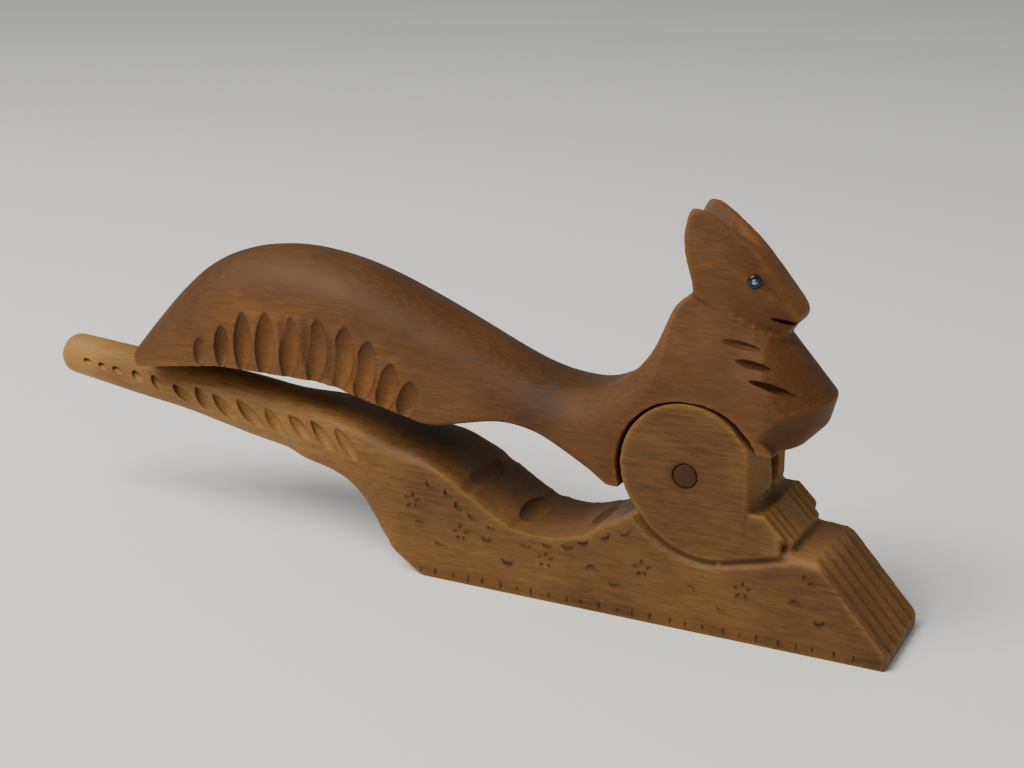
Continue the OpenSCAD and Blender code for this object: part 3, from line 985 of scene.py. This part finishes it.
    def build(self, finish: bpy.types.Material) -> bpy.types.Object:
        """Carves, ages and dresses the lever.

        Args:
            finish: The wood.

        Returns:
            The finished lever.
        """
        thing = self.blank()
        self.shape(thing)
        near = self.tail_flutes() + self.chest_cuts() + self.mouth()
        self.cut(thing, near + [mark.mirrored() for mark in near] + self.brow_valley())
        x, y, z = self.bench.measures(thing).T
        top = ramp(z - np.interp(x, self.top_x, self.top_z), -16, -6) * (1 - ramp(x, 30, 60))
        # The chest's front facet is darker, partly for its different grain and partly as painted shade.
        front = ramp(x + 0.45 * np.abs(y), 103, 108) * ramp(z, 50, 56) * (1 - ramp(z, 80, 84))
        scoops = recall(thing, "wear") * (1 - ramp(x, 0, 10))
        # Painted shade: the waist and, from x 60 to 80 mm, the whole head are painted darker, as shade from
        # a light on the left.
        waist = ramp(x, 10, 40) * (1 - ramp(x, 56, 70))
        # Painted highlight: the forehead between the ears is painted lighter, as a highlight.
        forehead = ramp(x + 0.9 * z, 177, 181) * (1 - ramp(np.abs(y), 4, 7))
        store(thing, "stain", 0.45 * top + 0.35 * waist + 0.2 * ramp(x, 60, 80) + 0.25 * front
              - 0.5 * forehead - 0.3 * scoops)
        self.place(thing, finish)
        return thing


# ---------------------------------------------------------------- small pieces


@dataclass
class HingeDowel:
    """The whittled dowel that the lever turns on: not quite round, its ends cut flat and softened."""

    bench: Bench
    radius: float = 3.32
    half_length: float = 14.75
    chamfer: float = 0.45
    sides: int = 40

    def build(self, finish: bpy.types.Material) -> bpy.types.Object:
        """Turns, whittles and dresses the dowel.

        Args:
            finish: The wood.

        Returns:
            The finished dowel.
        """
        deselect()
        centre = self.bench.at(self.bench.hinge_x, 0, self.bench.hinge_z)
        bpy.ops.mesh.primitive_cylinder_add(vertices=self.sides, radius=self.radius * MM,
                                            depth=2 * self.half_length * MM, location=centre,
                                            rotation=(math.pi / 2, 0, 0))
        made = bpy.context.object
        made.name = "hinge_dowel_whittled"
        settle(made)
        modify(made, "BEVEL", width=self.chamfer * MM, segments=3, limit_method="ANGLE",
               angle_limit=math.radians(60))
        at = places(made) - np.array(centre)
        turn = np.arctan2(at[:, 2], at[:, 0])
        uneven = 1 - 0.028 * (0.5 + 0.5 * np.sin(3 * turn + 0.6)) - 0.012 * (0.5 + 0.5 * np.sin(7 * turn))
        at[:, 0] *= uneven
        at[:, 2] *= uneven
        put(made, at + np.array(centre))
        choose(made)
        bpy.ops.object.shade_smooth_by_angle(angle=math.radians(40))
        store(made, "stain", 0.3 * ramp(np.hypot(at[:, 0], at[:, 2]) / MM, 2.4, 3.3))
        dress(made, finish)
        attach(made, "base_body")
        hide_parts("hinge_dowel")
        log.info("%s: whittled dowel through both cheeks", made.name)
        return made


@dataclass
class Eye:
    """One eye: a black bead on a brad driven into the side of the head."""

    bench: Bench
    side: int
    x: float = 93.2
    y: float = 8.3
    z: float = 94.2
    ring_r: float = 1.04
    glass_r: float = 0.82
    brad_r: float = 0.8
    splay: float = 14.0

    @property
    def word(self) -> str:
        """Which side of the head this eye is on."""
        return "left" if self.side > 0 else "right"

    def stand(self, made: bpy.types.Object) -> None:
        """Turns a piece made about Z to look out of the head, and sets it in place.

        Args:
            made: The bead or the brad.
        """
        look = (Matrix.Rotation(math.radians(-self.side * 90), 4, "X") @
                Matrix.Rotation(math.radians(self.splay), 4, "Y"))
        made.matrix_world = Matrix.Translation(self.bench.at(self.x, self.side * self.y, self.z)) @ look
        settle(made)
        choose(made)
        bpy.ops.object.shade_smooth_by_angle(angle=math.radians(40))

    def bead(self, finish: bpy.types.Material) -> bpy.types.Object:
        """Forms the bead as a thick ring with a small bore.

        Args:
            finish: The glass.

        Returns:
            The finished bead.
        """
        deselect()
        bpy.ops.mesh.primitive_torus_add(major_segments=40, minor_segments=20,
                                         major_radius=self.ring_r * MM, minor_radius=self.glass_r * MM)
        made = bpy.context.object
        made.name = self.word + "_eye_bead_glass"
        self.stand(made)
        dress(made, finish)
        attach(made, "lever_body")
        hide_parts(self.word + "_eye_bead")
        log.info("%s: bead set in the head", made.name)
        return made

    def brad(self, finish: bpy.types.Material) -> bpy.types.Object:
        """Strikes the brad: a low domed head that sits in the bead's bore, on a thin shank.

        Args:
            finish: The steel.

        Returns:
            The finished brad.
        """
        deselect()
        bpy.ops.mesh.primitive_uv_sphere_add(segments=32, ring_count=20, radius=self.brad_r * MM,
                                             location=(0, 0, 0))
        head = bpy.context.object
        bpy.ops.object.mode_set(mode="EDIT")
        bpy.ops.mesh.select_all(action="SELECT")
        bpy.ops.mesh.bisect(plane_co=(0, 0, 0), plane_no=(0, 0, 1), use_fill=True, clear_inner=True)
        bpy.ops.object.mode_set(mode="OBJECT")
        head.scale = (1, 1, 0.5)
        head.location = (0, 0, 0.52 * MM)
        deselect()
        bpy.ops.mesh.primitive_cylinder_add(vertices=16, radius=0.24 * MM, depth=6 * MM,
                                            location=(0, 0, -2.4 * MM))
        made = join([head, bpy.context.object], self.word + "_eye_brad_struck")
        self.stand(made)
        dress(made, finish)
        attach(made, "lever_body")
        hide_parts(self.word + "_eye_brad")
        log.info("%s: brad through the bead", made.name)
        return made


# ---------------------------------------------------------------- studio


@dataclass
class Studio:
    """A plain pale floor, soft light from above, and the camera."""

    bench: Bench
    eye: tuple[float, float, float] = (225.503, -407.178, 203.006)
    azimuth: float = 26.5
    elevation: float = 18.0
    lens: float = 61.52
    floor_colour: str = "#ebebe8"

    def floor(self) -> None:
        """Lays the floor as one flat sheet."""
        deselect()
        bpy.ops.mesh.primitive_plane_add(size=1, location=(0, 0, 0))
        sheet = bpy.context.object
        sheet.name = "floor"
        sheet.scale = (6, 6, 1)
        settle(sheet)
        made, tree = new_finish("pale_floor")
        shader = add(tree, "ShaderNodeBsdfPrincipled",
                     {"Base Color": linear(self.floor_colour), "Roughness": 0.9, "Specular IOR Level": 0.1})
        add(tree, "ShaderNodeOutputMaterial", {"Surface": shader.outputs[0]})
        dress(sheet, made)

    def lights(self) -> None:
        """Hangs one broad soft light overhead, a weak one from the front, and an even surround."""
        deselect()
        for name, where, aim, size, watts, tint in (
            ("overhead", (-0.5, -0.65, 1.15), (0, -0.15, 0.04), 1.0, 27, "#fffaf2"),
            ("front_fill", (-0.6, -1.4, 0.7), (0, 0, 0.04), 1.2, 2, "#f2f6ff"),
        ):
            bpy.ops.object.light_add(type="AREA", location=where)
            lamp = bpy.context.object
            lamp.name = name
            lamp.data.shape = "DISK"
            lamp.data.size = size
            lamp.data.energy = watts
            lamp.data.color = linear(tint)[:3]
            lamp.rotation_euler = (Vector(where) - Vector(aim)).to_track_quat("Z", "Y").to_euler()
        world = bpy.data.worlds.new("surround")
        bpy.context.scene.world = world
        world.use_nodes = True
        world.node_tree.nodes.clear()
        sky = add(world.node_tree, "ShaderNodeBackground", {"Color": linear("#eef1f4"), "Strength": 0.40})
        add(world.node_tree, "ShaderNodeOutputWorld", {"Surface": sky.outputs[0]})

    def camera(self) -> None:
        """Sets the camera up to the front and right of the squirrel."""
        deselect()
        bpy.ops.object.camera_add(location=self.bench.at(*self.eye))
        camera = bpy.context.object
        camera.data.sensor_width = 36.0
        camera.data.lens = self.lens
        camera.data.clip_start = 0.01
        camera.data.clip_end = 20
        a, e = math.radians(self.azimuth), math.radians(self.elevation)
        back = Vector((math.sin(a) * math.cos(e), -math.cos(a) * math.cos(e), math.sin(e)))
        camera.rotation_euler = back.to_track_quat("Z", "Y").to_euler()
        bpy.context.scene.camera = camera


def main() -> None:
    """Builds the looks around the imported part, piece by piece."""
    logging.basicConfig(level=logging.INFO, format="%(message)s")
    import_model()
    bench = Bench()
    studio = Studio(bench)
    studio.camera()
    studio.floor()
    studio.lights()
    base_wood = StainedWood("stained_wood_base").material()
    lever_wood = StainedWood("stained_wood_lever", light="#805325", middle="#5b391a",
                             dark="#36210d").material()
    dowel_wood = StainedWood("stained_wood_dowel", light="#553414", middle="#3f240b", dark="#291506",
                             end_grain=True).material()
    glass = BlackGlass("black_glass_bead").material()
    steel = BrightSteel("bright_steel_brad").material()
    HandledBase(bench).build(base_wood)
    SquirrelLever(bench).build(lever_wood)
    HingeDowel(bench).build(dowel_wood)
    for side in (1, -1):
        eye = Eye(bench, side)
        eye.bead(glass)
        eye.brad(steel)


if __name__ == "__main__":
    main()
